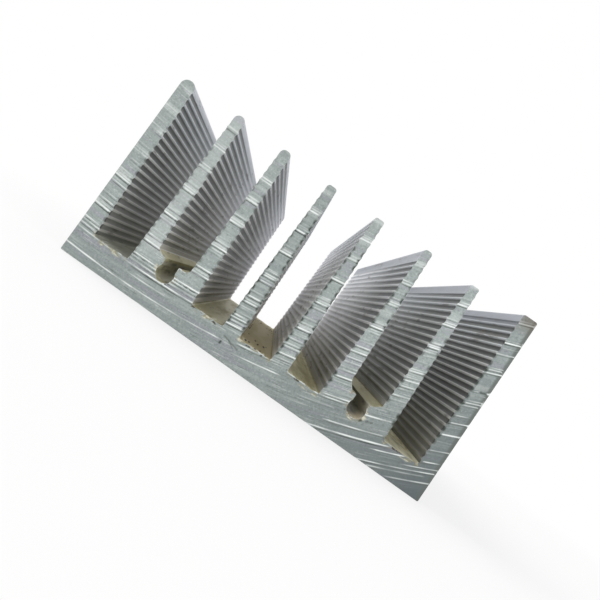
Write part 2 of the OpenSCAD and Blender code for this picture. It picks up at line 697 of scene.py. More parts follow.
@dataclass
class ExtrudedBar:
    """The whole heat sink: one closed mesh from end to end.

    Attributes:
        section: The section of the bar.
        length: Length of the bar.
        cuts: The saw cut at each end.
        marks: Dents in the front end.
        setback: How far the cuts lie inside the full length, which the burrs reach.
        burr_lift: How far a full burr turns up.
        burr_width: How far it reaches over the cut.
        burr_run: How many points of the outline the draw for one stretch of burr spans.
        notch_width: How far the painted shade at the ends of the flutes reaches over the cut.
        notch_run: How many points the draw for that painted shade spans.
        notch_left: Left of this place, from the middle, that painted shade is fainter.
        notch_top: Height at which it fades out.
        mark_dark: How much painted shade a mark gets for each millimetre of its depth.
        stain_width: How far the brown film creeps over the cut.
        edge_light: How much brighter the painted highlights of the scores are where they leave the cut.
        seed: Seed of the draw that makes the burrs ragged.
        rim: Length of the stretch next to a cut that takes up the burr.
        collar: How far from the ends of the bar the next rings lie.
        sharp_angle: Angle between two faces above which their edge is sharp, in degrees.
    """

    section: Section
    length: float
    cuts: dict[End, SawCut]
    marks: tuple[Mark, ...]
    setback: float = 0.12
    burr_lift: float = 0.2
    burr_width: float = 0.2
    burr_run: int = 6
    notch_width: float = 0.5
    notch_run: int = 16
    notch_left: float = -8.0
    notch_top: float = 33.5
    mark_dark: float = 9.0
    stain_width: float = 1.1
    edge_light: float = 1.35
    rim: float = 0.35
    collar: float = 3.0
    sharp_angle: float = 38.0
    seed: int = 7

    @staticmethod
    def runs(draw: np.random.Generator, count: int, run: int) -> np.ndarray:
        """A smooth random number for each of count points, with a new draw after every run of them."""
        knots = np.arange(0, count + run, run)
        return np.interp(np.arange(count), knots, draw.random(len(knots)))

    @staticmethod
    def reached(
        points: np.ndarray, sources: np.ndarray, strength: np.ndarray, width: float, rise: float = 1.0
    ) -> np.ndarray:
        """How strongly the strongest of some sources reaches each point.

        Args:
            points: The points, as (x, z) rows.
            sources: The sources, as (x, z) rows.
            strength: The strength of each source.
            width: The distance at which a source no longer reaches.
            rise: How steeply its reach rises toward it, to no more than its strength.

        Returns:
            The strength at each point.
        """
        found = []
        for part in np.array_split(points, max(1, len(points) // 2000)):
            away = part[:, None, :] - sources[None, :, :]
            near = rise - rise * np.hypot(away[..., 0], away[..., 1]) / width
            found.append((np.clip(near, 0, 1) * strength).max(1))
        return np.concatenate(found)

    def ragged(self, outline: Outline, end: End) -> np.ndarray:
        """How far the burr stands out at each point of the outline, from 0 to 1.

        Args:
            outline: The outline of the section.
            end: Which end of the bar.

        Returns:
            The burr at each point.
        """
        draw = np.random.default_rng(self.seed + end.value)
        count = len(outline.x)
        rough = draw.random(count)
        soft = (np.roll(rough, 1) + 2 * rough + np.roll(rough, -1)) / 4
        runs = self.runs(draw, count, self.burr_run)
        burr = np.array(outline.burr)
        return burr * np.clip(1.7 * soft - 0.1, 0, 1) * np.clip(3.2 * runs - 1.1, 0, 1)

    def notch_shade(self, outline: Outline, end: End, points: np.ndarray) -> np.ndarray:
        """The painted shade of some points of the cut, at the ends of the flutes near them.

        Args:
            outline: The outline of the section.
            end: Which end.
            points: The points, as (x, z) rows.

        Returns:
            The painted shade of each, from 0 to 1.
        """
        draw = np.random.default_rng(self.seed + 10 + end.value)
        runs = self.runs(draw, len(outline.x), self.notch_run)
        dark = np.clip((np.array(outline.groove) - 0.6) / 0.3, 0, 1) * np.clip(2.2 * runs - 0.3, 0, 1)
        dark *= np.where(np.array(outline.x) > self.notch_left, 1.0, 0.45)
        dark *= np.clip((self.notch_top - np.array(outline.z)) / 3, 0.25, 1)
        kept = dark > 0.1
        return self.reached(points, outline.points()[kept], dark[kept], self.notch_width, 1.5)

    def ends_y(self, end: End, relief: np.ndarray) -> np.ndarray:
        """Places along the bar of points that stand out of a cut by relief."""
        reach = np.clip(self.length / 2 - self.setback + relief, 0, self.length / 2)
        return end.value * reach

    def stain(self, outline: Outline, points: np.ndarray) -> np.ndarray:
        """How stained some points of the cut are: fully at a ragged edge, and less further in.

        Args:
            outline: The outline of the section.
            points: The points, as (x, z) rows.

        Returns:
            The stain of each point, from 0 to 1.
        """
        burr = np.array(outline.burr)
        kept = burr > 0.3
        return self.reached(points, outline.points()[kept], burr[kept], self.stain_width)

    def linings(self, outline: Outline, end: End) -> list[Point]:
        """Points of a cut that carry its marks, its burrs, its film and the painted shade at the ends of the
        flutes.

        Args:
            outline: The outline of the section.
            end: Which end of the bar.

        Returns:
            The points, as (x, z).
        """
        points = [p for mark in self.marks for p in mark.points()] if end is End.FRONT else []
        for distance in (self.burr_width, self.stain_width / 2, self.stain_width):
            points += outline.lining(distance)
        for share in (0.35, 0.7, 1.0):
            points += outline.lining(self.notch_width * share, fluted=True)
        return points

    def mesh_cut(self, outline: Outline, end: End) -> tuple[np.ndarray, list[list[int]]]:
        """Meshes a cut.

        Args:
            outline: The outline of the section.
            end: Which end.

        Returns:
            The inner points, as (x, z) rows, and the triangles, whose first indices count the
            outline's points and whose others the inner ones.
        """
        rows, row_edges = self.cuts[end].rows(outline)
        count = len(outline.x)
        border = [Vector(p) for p in outline.points().tolist()]
        inner = [Vector(p) for p in rows + self.linings(outline, end)]
        edges = [(k, (k + 1) % count) for k in range(count)]
        edges += [(a + count, b + count) for a, b in row_edges]
        found, _, faces, origins, _, _ = delaunay_2d_cdt(border + inner, edges, [], 1, 1e-6, True)
        place = {}
        for k, source in enumerate(origins):
            firsts = [s for s in source if s < count]
            if firsts:
                place[k] = firsts[0]
        extra = [k for k in range(len(found)) if k not in place]
        for number, k in enumerate(extra):
            place[k] = count + number
        centres = np.array([[sum(found[v][axis] for v in face) / 3 for axis in (0, 1)] for face in faces])
        solid = outline.holds(centres[:, 0], centres[:, 1])
        triangles = [[place[v] for v in face] for face, kept in zip(faces, solid) if kept]
        return np.array([found[k][:] for k in extra]), triangles

    def cap(self, outline: Outline, end: End) -> Cap:
        """Builds the sawn face at one end.

        Args:
            outline: The outline of the section.
            end: Which end of the bar.

        Returns:
            The sawn face.
        """
        cut, count = self.cuts[end], len(outline.x)
        inner, triangles = self.mesh_cut(outline, end)
        every = np.vstack([outline.points(), inner])
        relief, light = cut.at(every[:, 0] - cut.edge, every[:, 1])
        if end is End.FRONT:
            for mark in self.marks:
                deep = mark.at(every[:, 0], every[:, 1])
                relief -= deep
                # Painted shade in each mark, darker the deeper it is.
                light -= deep * self.mark_dark
        ragged = self.ragged(outline, end)
        relief[:count] += ragged * self.setback * 1.3
        # Painted highlights: the scores brighter at the rim, and the burrs bright.
        light[:count] = np.maximum(light[:count] * self.edge_light, ragged * 0.95)
        # Painted shade at the ends of the flutes.
        light -= self.notch_shade(outline, end, every)
        y = self.ends_y(end, relief)
        lift = (ragged - 0.3 * np.array(outline.burr)) * self.burr_lift
        logger.info("%s end: %d points, %d triangles", end.name.lower(), len(every), len(triangles))
        return Cap(
            inner=np.column_stack([inner[:, 0], y[count:], inner[:, 1]]),
            light=light[count:],
            stain=self.stain(outline, inner),
            rim=np.column_stack([outline.x, y[:count], np.array(outline.z) + lift]),
            rim_light=light[:count],
            triangles=triangles,
        )

    def build(self, finishes: dict[Surface, Material]) -> bpy.types.Object:
        """Builds the bar's mesh and dresses it.

        Args:
            finishes: The material of each kind of surface.

        Returns:
            The finished object.
        """
        outline = self.section.outline()
        count, points = len(outline.x), outline.points()
        caps = {end: self.cap(outline, end) for end in End}
        rings, lights, stains = [caps[End.FRONT].rim], [caps[End.FRONT].rim_light], [np.array(outline.burr)]
        for y in self.stations():
            rings.append(np.column_stack([points[:, 0], np.full(count, y), points[:, 1]]))
            lights.append(np.zeros(count))
            stains.append(np.zeros(count))
        rings.append(caps[End.BACK].rim)
        lights.append(caps[End.BACK].rim_light)
        stains.append(np.array(outline.burr))
        faces, slots = self.walls(outline, len(rings))
        last_ring = len(rings) - 1
        grooves = [np.tile(outline.groove, len(rings))]
        offset = len(rings) * count
        for end, ring in ((End.FRONT, 0), (End.BACK, last_ring)):
            cap = caps[end]
            rings.append(cap.inner)
            lights.append(cap.light)
            stains.append(cap.stain)
            grooves.append(np.zeros(len(cap.inner)))
            for triangle in cap.triangles:
                turned = triangle if end is End.FRONT else triangle[::-1]
                faces.append([v + ring * count if v < count else v - count + offset for v in turned])
                slots.append(Surface.SAWN.value)
            offset += len(cap.inner)
        mesh = bpy.data.meshes.new("extruded_bar")
        mesh.from_pydata((np.vstack(rings) * MM).tolist(), [], faces)
        mesh.polygons.foreach_set("material_index", slots)
        mesh.polygons.foreach_set("use_smooth", np.array(slots) != Surface.SAWN.value)
        # The painted highlights and shade go to the mesh as its score numbers.
        for name, values in (("score", lights), ("stain", stains), ("groove", grooves)):
            self.store(mesh, name, np.concatenate(values))
        mesh.validate()
        mesh.set_sharp_from_angle(angle=math.radians(self.sharp_angle))
        for surface in Surface:
            mesh.materials.append(finishes[surface])
        bar = bpy.data.objects.new("fluted_bar", mesh)
        bpy.context.scene.collection.objects.link(bar)
        logger.info("fluted_bar: %d faces", len(mesh.polygons))
        return bar

    def stations(self) -> tuple[float, ...]:
        """Places along the bar of the rings between its two ends."""
        half, inset = self.length / 2, self.setback + self.rim
        return (inset - half, self.collar - half, -half / 2, 0.0, half / 2, half - self.collar, half - inset)

    @staticmethod
    def walls(outline: Outline, rings: int) -> tuple[list, list[int]]:
        """The faces that join the rings, and their material slots.

        Args:
            outline: The outline of the section.
            rings: The number of rings.

        Returns:
            The faces and their slots.
        """
        count = len(outline.x)
        faces, slots = [], []
        for k in range(rings - 1):
            a, b = k * count, (k + 1) * count
            for j in range(count):
                n = (j + 1) % count
                faces.append((a + j, a + n, b + n, b + j))
                slots.append(outline.kind[j].value)
        return faces, slots

    @staticmethod
    def store(mesh: bpy.types.Mesh, name: str, values: np.ndarray) -> None:
        """Keeps one number for each vertex under a name that the finishes read."""
        attribute = mesh.attributes.new(name, "FLOAT", "POINT")
        attribute.data.foreach_set("value", values.astype(np.float32))


# ---------------------------------------------------------------- shader wiring


class Axis(Enum):
    """The axes of the bar, in the order of the Separate XYZ node's outputs."""

    X = 0
    Y = 1
    Z = 2


@dataclass(frozen=True)
class Ramp:
    """A smooth climb of a mask with some value.

    Attributes:
        low: The value at which the mask has its first strength.
        high: The value at which it has its last.
        start: Its first strength.
        end: Its last strength.
    """

    low: float
    high: float
    start: float = 0.0
    end: float = 1.0


@dataclass(frozen=True)
class Zone(Ramp):
    """A ramp along one axis of the bar, in millimetres.

    Attributes:
        axis: The axis.
        around: A place on it from which low and high are distances, to either side.
    """

    axis: Axis = Axis.X
    around: float | None = None


@dataclass(frozen=True)
class Noise:
    """A noise: how fine it is for each millimetre, its detail and its roughness."""

    scale: float
    detail: float = 2.0
    roughness: float = 0.5


class Wiring:
    """Lays out nodes in a tree, with sockets or plain numbers as their inputs."""

    def __init__(self, tree: Tree) -> None:
        """Takes the tree to lay nodes out in."""
        self.tree = tree

    def node(self, kind: str, **settings: object) -> Node:
        """Adds a node of a kind with some of its settings.

        Args:
            kind: Name of the type of node.
            settings: Properties to set on it.

        Returns:
            The node.
        """
        made = self.tree.nodes.new(kind)
        for name, value in settings.items():
            setattr(made, name, value)
        return made

    def plug(self, socket: Socket, value: object) -> None:
        """Links value to a socket if it is one, and otherwise sets it there.

        Args:
            socket: The input.
            value: A socket, a value, or None to leave the input alone.
        """
        if isinstance(value, Socket):
            self.tree.links.new(value, socket)
        elif value is not None:
            socket.default_value = value

    def math(self, operation: str, a: object, b: object = None, c: object = None) -> Socket:
        """Adds a Math node and returns its result.

        Args:
            operation: Name of the operation.
            a: The first input.
            b: The second.
            c: The third.

        Returns:
            The result.
        """
        made = self.node("ShaderNodeMath", operation=operation)
        for socket, value in zip(made.inputs, (a, b, c)):
            self.plug(socket, value)
        return made.outputs[0]

    def product(self, *values: object) -> Socket:
        """Multiplies some values.

        Args:
            values: Sockets or numbers.

        Returns:
            Their product.
        """
        result = values[0]
        for value in values[1:]:
            result = self.math("MULTIPLY", result, value)
        return result

    def ramp(self, value: object, ramp: Ramp, unit: float = 1.0) -> Socket:
        """Maps value by a ramp, whose low and high are counted in a unit.

        Args:
            value: The value.
            ramp: The ramp.
            unit: The unit of the ramp's low and high.

        Returns:
            The mask.
        """
        made = self.node("ShaderNodeMapRange", interpolation_type="SMOOTHSTEP", clamp=True)
        numbers = (value, ramp.low * unit, ramp.high * unit, ramp.start, ramp.end)
        for socket, number in zip(made.inputs, numbers):
            self.plug(socket, number)
        return made.outputs[0]

    def vector(self, x: object, y: object, z: object) -> Socket:
        """Joins three numbers to a vector.

        Args:
            x: The first number.
            y: The second.
            z: The third.

        Returns:
            The vector.
        """
        made = self.node("ShaderNodeCombineXYZ")
        for socket, value in zip(made.inputs, (x, y, z)):
            self.plug(socket, value)
        return made.outputs[0]

    def split(self, vector: Socket) -> tuple[Socket, ...]:
        """Splits a vector into three numbers.

        Args:
            vector: The vector.

        Returns:
            Its three numbers.
        """
        made = self.node("ShaderNodeSeparateXYZ")
        self.plug(made.inputs[0], vector)
        return tuple(made.outputs)

    def noise(self, vector: Socket, noise: Noise, unit: float = MM) -> Socket:
        """Adds a noise over a vector that is counted in metres, or in another unit.

        Args:
            vector: Where to read the noise.
            noise: The noise.
            unit: The unit of its scale.

        Returns:
            Its value.
        """
        made = self.node("ShaderNodeTexNoise")
        self.plug(made.inputs["Vector"], vector)
        self.plug(made.inputs["Scale"], noise.scale / unit)
        self.plug(made.inputs["Detail"], noise.detail)
        self.plug(made.inputs["Roughness"], noise.roughness)
        return made.outputs[0]

    def mix(self, factor: object, a: object, b: object) -> Socket:
        """Mixes two colours.

        Args:
            factor: How much of the second colour shows.
            a: The first colour.
            b: The second.

        Returns:
            The mixed colour.
        """
        made = self.node("ShaderNodeMix", data_type="RGBA", clamp_factor=True)
        for socket, value in ((made.inputs[0], factor), (made.inputs[6], a), (made.inputs[7], b)):
            if isinstance(value, tuple) and len(value) == 3:
                value = (*value, 1.0)
            self.plug(socket, value)
        return made.outputs[2]

    def group(self, tree: Tree, **values: object) -> Node:
        """Places a node group with values at its named inputs.

        Args:
            tree: The node group.
            values: Values for its inputs, by name.

        Returns:
            The node.
        """
        made = self.node("ShaderNodeGroup", node_tree=tree)
        for name, value in values.items():
            self.plug(made.inputs[name.replace("_", " ").capitalize()], value)
        return made

    def stored(self, name: str) -> Socket:
        """The number that the mesh keeps under a name."""
        return self.node("ShaderNodeAttribute", attribute_name=name).outputs["Fac"]


@dataclass(frozen=True)
class GroupSocket:
    """One socket of a shader node group."""

    name: str
    kind: str = "NodeSocketFloat"
    value: object = None


def new_group(
    name: str, inputs: tuple[GroupSocket, ...], outputs: tuple[GroupSocket, ...]
) -> tuple[Tree, Wiring, Node, Node]:
    """Makes a shader node group.

    Args:
        name: Name of the group.
        inputs: Its inputs, with their default values.
        outputs: Its outputs.

    Returns:
        The tree, its wiring, and its input and output nodes.
    """
    tree = bpy.data.node_groups.new(name, "ShaderNodeTree")
    for sockets, direction in ((inputs, "INPUT"), (outputs, "OUTPUT")):
        for socket in sockets:
            made = tree.interface.new_socket(name=socket.name, in_out=direction, socket_type=socket.kind)
            if socket.value is not None:
                made.default_value = socket.value
    wiring = Wiring(tree)
    return tree, wiring, wiring.node("NodeGroupInput"), wiring.node("NodeGroupOutput")


@dataclass(frozen=True)
class ArcNoise:
    """A noise that is drawn out along the arcs of a cut.

    Attributes:
        along: How fine it is along an arc.
        across: How fine it is from arc to arc.
        layer: Which layer of the noise it shows.
        detail: Its detail.
        roughness: Its roughness.
    """

    along: float
    across: float
    layer: float
    detail: float
    roughness: float


@dataclass(frozen=True)
class SawArcs:
    """The fine arcs of a saw cut, as a group that reads the place on the bar.

    Attributes:
        cut: The cut whose arcs they follow.
        fine: The fine light and dark arcs.
        broad: The broad pale and bluish bands.
        patchy: The patches in which the glows show.
        patches: How those patches end.
        glows: Levels of the painted highlight bands beside the strongest scores.
        glow_fall: How a painted highlight band ends with the distance from its level.
    """

    cut: SawCut
    fine: ArcNoise = ArcNoise(0.16, 3.4, 0.0, 3.0, 0.65)
    broad: ArcNoise = ArcNoise(0.05, 0.62, 3.0, 2.0, 0.6)
    patchy: ArcNoise = ArcNoise(0.11, 0.2, 7.0, 1.0, 0.5)
    patches: Ramp = Ramp(0.38, 0.58)
    glows: tuple[float, ...] = (36.5, 32.1, 27.6, 22.7, 17.3, 11.0)
    glow_fall: Ramp = Ramp(0.85, 0.25)

    def level(self, w: Wiring, x: Socket, z: Socket) -> Socket:
        """The level of the arc through a place, with x from the left edge of the bar.

        Args:
            w: The wiring to lay nodes out in.
            x: Place from the left edge, in millimetres.
            z: Height, in millimetres.

        Returns:
            The level.
        """
        level = z
        for _ in range(3):
            middle = w.math("MULTIPLY_ADD", level, self.cut.drift, self.cut.middle)
            away = w.math("SUBTRACT", x, middle)
            fall = w.math("SUBTRACT", self.cut.radius**2, w.math("MULTIPLY", away, away))
            level = w.math("ADD", w.math("SUBTRACT", z, self.cut.radius), w.math("SQRT", fall))
        return level

    def group(self) -> Tree:
        """Builds the group: fine arcs, pale and bluish bands, and painted highlight bands by the strong
        scores.

        Returns:
            The group.
        """
        tree, w, given, result = new_group(
            "saw_arcs",
            (GroupSocket("Place", "NodeSocketVector"),),
            (GroupSocket("Fine"), GroupSocket("Band"), GroupSocket("Level"), GroupSocket("Glow")),
        )
        x, _, z = w.split(given.outputs["Place"])
        x = w.math("MULTIPLY_ADD", x, 1 / MM, -self.cut.edge)
        level = self.level(w, x, w.math("MULTIPLY", z, 1 / MM))

        def drawn(kind: ArcNoise) -> Socket:
            """The value of one of the noises along the arcs."""
            spot = w.vector(w.product(x, kind.along), w.product(level, kind.across), kind.layer)
            return w.noise(spot, Noise(1.0, kind.detail, kind.roughness), 1.0)

        # Painted highlight bands beside the strongest scores, in patches.
        glow = 0.0
        for middle in self.glows:
            away = w.math("ABSOLUTE", w.math("SUBTRACT", level, middle))
            glow = w.math("MAXIMUM", glow, w.ramp(away, self.glow_fall))
        w.plug(result.inputs["Fine"], w.math("SUBTRACT", drawn(self.fine), 0.5))
        w.plug(result.inputs["Band"], drawn(self.broad))
        w.plug(result.inputs["Level"], level)
        w.plug(result.inputs["Glow"], w.product(glow, w.ramp(drawn(self.patchy), self.patches)))
        return tree


@dataclass(frozen=True)
class DieLines:
    """The fine lines that the die draws along the bar, as a group.

    Attributes:
        across: How fine the lines are across the bar, for each millimetre.
        along: How fine they are along it.
        lines: The noise of the lines.
        mottle: The soft patches beside them.
    """

    across: float = 6.0
    along: float = 0.02
    lines: Noise = Noise(1.0, 3.0, 0.6)
    mottle: Noise = Noise(0.22, 3.0, 0.6)

    def group(self) -> Tree:
        """Builds the group.

        Returns:
            The group.
        """
        tree, w, given, result = new_group(
            "die_lines",
            (GroupSocket("Place", "NodeSocketVector"), GroupSocket("Fineness", value=1.0)),
            (GroupSocket("Lines"), GroupSocket("Mottle")),
        )
        x, y, z = w.split(given.outputs["Place"])
        across = w.math("MULTIPLY", given.outputs["Fineness"], self.across / MM)
        stretched = w.vector(w.product(x, across), w.product(y, self.along / MM), w.product(z, across))
        w.plug(result.inputs["Lines"], w.noise(stretched, self.lines, 1.0))
        w.plug(result.inputs["Mottle"], w.noise(given.outputs["Place"], self.mottle))
        return tree


@dataclass(frozen=True)
class Tarnish:
    """The brown film that gathers toward the feet of the fins, as a group.

    Attributes:
        patches: The noise that makes its upper end uneven.
        uneven: How far up and down that moves it, in millimetres.
        climb: Heights at which the film is gone and full.
    """

    patches: Noise = Noise(0.12, 3.0, 0.6)
    uneven: float = 6.0
    climb: Ramp = Ramp(17.0, 5.0)

    def group(self) -> Tree:
        """Builds the group.

        Returns:
            The group.
        """
        tree, w, given, result = new_group(
            "tarnish", (GroupSocket("Place", "NodeSocketVector"),), (GroupSocket("Mask"),)
        )
        _, _, z = w.split(given.outputs["Place"])
        patchy = w.math("SUBTRACT", w.noise(given.outputs["Place"], self.patches), 0.5)
        shifted = w.math("MULTIPLY_ADD", patchy, self.uneven * MM, z)
        w.plug(result.inputs["Mask"], w.ramp(shifted, self.climb, MM))
        return tree


# ---------------------------------------------------------------- finishes


class Finish:
    """A material in the making: its shader, its wiring, and the place on the bar."""

    def __init__(self, name: str, metallic: float, edge_tint: Colour = EDGE_TINT) -> None:
        """Makes the material.

        Args:
            name: Name of the material.
            metallic: How metallic the shader is all over.
            edge_tint: Tint of its reflection at a grazing view.
        """
        self.material = bpy.data.materials.new(name)
        self.material.use_nodes = True
        self.w = Wiring(self.material.node_tree)
        self.shader = self.material.node_tree.nodes["Principled BSDF"]
        self.shader.inputs["Metallic"].default_value = metallic
        self.shader.inputs["Specular Tint"].default_value = (*edge_tint, 1.0)
        self.place = self.w.node("ShaderNodeTexCoord").outputs["Object"]
        self.x, self.y, self.z = self.w.split(self.place)

    def zone(self, zone: Zone) -> Socket:
        """The mask of a zone of the bar.

        Args:
            zone: The zone.

        Returns:
            Its mask.
        """
        value = (self.x, self.y, self.z)[zone.axis.value]
        if zone.around is not None:
            value = self.w.math("ABSOLUTE", self.w.math("SUBTRACT", value, zone.around * MM))
        return self.w.ramp(value, zone, MM)

    def mask(self, mask: object) -> object:
        """A mask that is given as a socket, a zone, or several of them to be multiplied.

        Args:
            mask: The mask.

        Returns:
            Its socket or number.
        """
        if isinstance(mask, tuple):
            return self.w.product(*(self.mask(part) for part in mask))
        return self.zone(mask) if isinstance(mask, Zone) else mask

    def layers(self, colour: object, *layers: tuple[object, object]) -> Socket:
        """Lays colours over a colour, each (mask, colour) on top of the last.

        Args:
            colour: The colour underneath.
            layers: The masks and colours, from the lowest up.

        Returns:
            The colour with all of them.
        """
        for mask, over in layers:
            colour = self.w.mix(self.mask(mask), colour, over)
        return colour

    def drawn(self, along: float) -> Socket:
        """The place with Y shortened, for patterns that are drawn out along the bar."""
        return self.w.vector(self.x, self.w.math("MULTIPLY", self.y, along), self.z)

    def finish(self, colour: object, rough: object, height: object, bump: float, depth: float) -> Material:
        """Wires the shader up.

        Args:
            colour: Its base colour.
            rough: Its roughness.
            height: The height that its bump follows.
            bump: Strength of the bump.
            depth: Depth of the bump, in millimetres.

        Returns:
            The finished material.
        """
        node = self.w.node("ShaderNodeBump")
        node.inputs["Strength"].default_value = bump
        node.inputs["Distance"].default_value = depth * MM
        self.w.plug(node.inputs["Height"], height)
        self.w.plug(self.shader.inputs["Base Color"], colour)
        self.w.plug(self.shader.inputs["Roughness"], rough)
        self.w.plug(self.shader.inputs["Normal"], node.outputs[0])
        return self.material


@dataclass(frozen=True)
class SawnFinish:
    """Freshly sawn aluminium, grey-green, with painted highlights on the crests of the scores.

    The zones name the parts of the front end that are lighter or darker than the rest; most are painted
    shade.
    """

    arcs: Tree
    grey: Colour = (0.37, 0.42, 0.403)
    blue: Colour = (0.40, 0.41, 0.44)
    # Pale tone of the cut; also the painted highlights on the score crests and burrs.
    cream: Colour = (0.80, 0.845, 0.82)
    # Dark arcs and grain of the cut; also painted shade in the furrows and along the right edge.
    dark: Colour = (0.15, 0.17, 0.155)
    # Painted shade toward the lower right, at the base, in the corner and on the last fin; also the darker
    # fourth fin.
    shade: Colour = (0.13, 0.15, 0.155)
    smudge: Colour = (0.17, 0.145, 0.115)
    film: Colour = (0.33, 0.30, 0.19)
    crack: Colour = (0.07, 0.055, 0.035)
    # Painted deep shade in the furrows, the marks and the ends of the flutes.
    deep_shade: Colour = (0.05, 0.068, 0.058)
    # Painted highlight on the strongest score crests and burrs.
    bright: Colour = (0.97, 1.0, 0.985)
    spill: Colour = (0.72, 0.71, 0.57)
    # Strength of the painted highlight bands beside the strongest scores.
    glow: float = 0.4
    low_arcs: Ramp = Ramp(12.0, 5.0, 0.4, 0.95)
    grain: Noise = Noise(2.6, 2.0, 0.7)
    slant: float = -1.1
    # Painted shade: darker toward the lower right, in the corner, at the base, on the last fin and along the
    # right edge.
    right_shade: Ramp = Ramp(-5, 44, 0.0, 0.82)
    corner_shade: Ramp = Ramp(29, 40, 0.0, 0.3)
    base_shade: Zone = Zone(9, 4.5, 0.0, 0.24, Axis.Z)
    last_fin_shade: Zone = Zone(34.5, 37.5, 0.0, 0.24)
    right_edge_shade: Zone = Zone(39.05, 39.6, 0.0, 0.85)
    above_base: Zone = Zone(8, 10, axis=Axis.Z)
    pale_fin: Zone = Zone(4, 2, 0.0, 0.2, around=-27)
    dull_fin: Zone = Zone(4, 2, 0.0, 0.17, around=-5.4)
    last_tip: Zone = Zone(35.0, 38.8, axis=Axis.Z)
    last_fin: Zone = Zone(35, 38.5, 0.0, 0.7)
    blotch: Noise = Noise(0.8, 3.0, 0.6)
    blotch_width: float = 0.5
    mottle: Noise = Noise(0.16, 2.0, 0.5)

    def cut(self, finish: Finish, arcs: Node, grain: Socket) -> Socket:
        """The colour of the plain cut, with its arcs and its grain.

        Args:
            finish: The material in the making.
            arcs: The node of the arcs.
            grain: The grain.

        Returns:
            The colour.
        """
        w = finish.w
        band, fine = arcs.outputs["Band"], arcs.outputs["Fine"]
        low = w.ramp(arcs.outputs["Level"], self.low_arcs)
        return finish.layers(
            self.grey,
            (w.ramp(band, Ramp(0.5, 0.3)), self.blue),
            (w.ramp(band, Ramp(0.48, 0.7, 0.0, 0.26)), self.cream),
            # Painted highlight bands beside the strongest scores.
            ((arcs.outputs["Glow"], self.glow), self.cream),
            ((w.ramp(fine, Ramp(0.07, 0.22)), low), self.cream),
            ((w.ramp(fine, Ramp(-0.08, -0.24)), low), self.dark),
            (w.ramp(grain, Ramp(0.48, 0.26, 0.0, 0.4)), self.dark),
            (w.ramp(grain, Ramp(0.55, 0.75, 0.0, 0.35)), self.cream),
        )

    def shades(self, finish: Finish, colour: object, corner: object) -> Socket:
        """Lays painted shade toward the lower right, at the base, corner, last fin and right edge, and the
        fins' own tone.

        Args:
            finish: The material in the making.
            colour: The colour underneath.
            corner: The mask of the shaded corner.

        Returns:
            The colour.
        """
        w = finish.w
        slope = w.math("MULTIPLY_ADD", finish.z, self.slant, finish.x)
        above = finish.zone(self.above_base)
        return finish.layers(
            colour,
            # Painted shade toward the lower right, at the base, in the corner, on the last fin and along the
            # right edge.
            (w.ramp(slope, self.right_shade, MM), self.shade),
            (self.base_shade, self.shade),
            (corner, self.shade),
            (self.last_fin_shade, self.shade),
            (self.right_edge_shade, self.dark),
            # The second fin's lighter and the fourth fin's darker tone.
            ((self.pale_fin, above), self.cream),
            ((self.dull_fin, above), self.shade),
        )

    def scored(self, finish: Finish, colour: object, corner: object) -> Socket:
        """Lays painted light on the scores, burrs, marks and flute ends, painted corner shade and the smudged
        tip.

        Args:
            finish: The material in the making.
            colour: The colour underneath.
            corner: The mask of the shaded corner.

        Returns:
            The colour.
        """
        w = finish.w
        score = w.stored("score")
        return finish.layers(
            colour,
            # Painted shade in the furrows, the marks and the ends of the flutes.
            (w.ramp(score, Ramp(0.0, -0.5, 0.0, 0.8)), self.dark),
            (w.ramp(score, Ramp(-0.45, -0.95, 0.0, 0.85)), self.deep_shade),
            # Painted highlights on the score crests and burrs.
            (w.ramp(score, Ramp(0.02, 0.62)), self.cream),
            (w.ramp(score, Ramp(0.5, 0.95, 0.0, 0.85)), self.bright),
            # Painted shade in the corner, laid again over the highlights.
            (corner, self.shade),
            ((self.last_tip, self.last_fin), self.smudge),
        )

    def stained(self, finish: Finish, colour: object) -> Socket:
        """Lays the film that creeps out of the gaps over a colour.

        Args:
            finish: The material in the making.
            colour: The colour underneath.

        Returns:
            The colour.
        """
        w = finish.w
        drawn = w.vector(w.math("MULTIPLY", finish.x, self.blotch_width), 0.0, finish.z)
        blotch = w.noise(drawn, self.blotch)
        stain = w.product(w.stored("stain"), w.ramp(w.stored("score"), Ramp(0.5, 0.2)))
        return finish.layers(
            colour,
            ((w.ramp(stain, Ramp(0.25, 0.7)), w.ramp(blotch, Ramp(0.47, 0.56, 0.0, 0.8))), self.film),
            ((w.ramp(stain, Ramp(0.15, 0.5)), w.ramp(blotch, Ramp(0.56, 0.64, 0.0, 0.8))), self.spill),
            ((w.ramp(stain, Ramp(0.3, 0.6)), w.ramp(blotch, Ramp(0.42, 0.37, 0.0, 0.9))), self.crack),
        )

    def material(self) -> Material:
        """Builds the material.

        Returns:
            The material.
        """
        finish = Finish("sawn_aluminium", 0.85)
        w = finish.w
        arcs = w.group(self.arcs, place=finish.place)
        grain = w.noise(finish.place, self.grain)
        slope = w.math("MULTIPLY_ADD", finish.z, self.slant, finish.x)
        # Painted shade in the lower right corner.
        corner = w.ramp(slope, self.corner_shade, MM)
        colour = self.shades(finish, self.cut(finish, arcs, grain), corner)
        colour = self.stained(finish, self.scored(finish, colour, corner))
        rough = w.math("MULTIPLY_ADD", w.noise(finish.place, self.mottle), 0.2, 0.38)
        height = w.math("ADD", arcs.outputs["Fine"], w.math("MULTIPLY", grain, 0.4))
        return finish.finish(colour, rough, height, bump=0.35, depth=0.05)


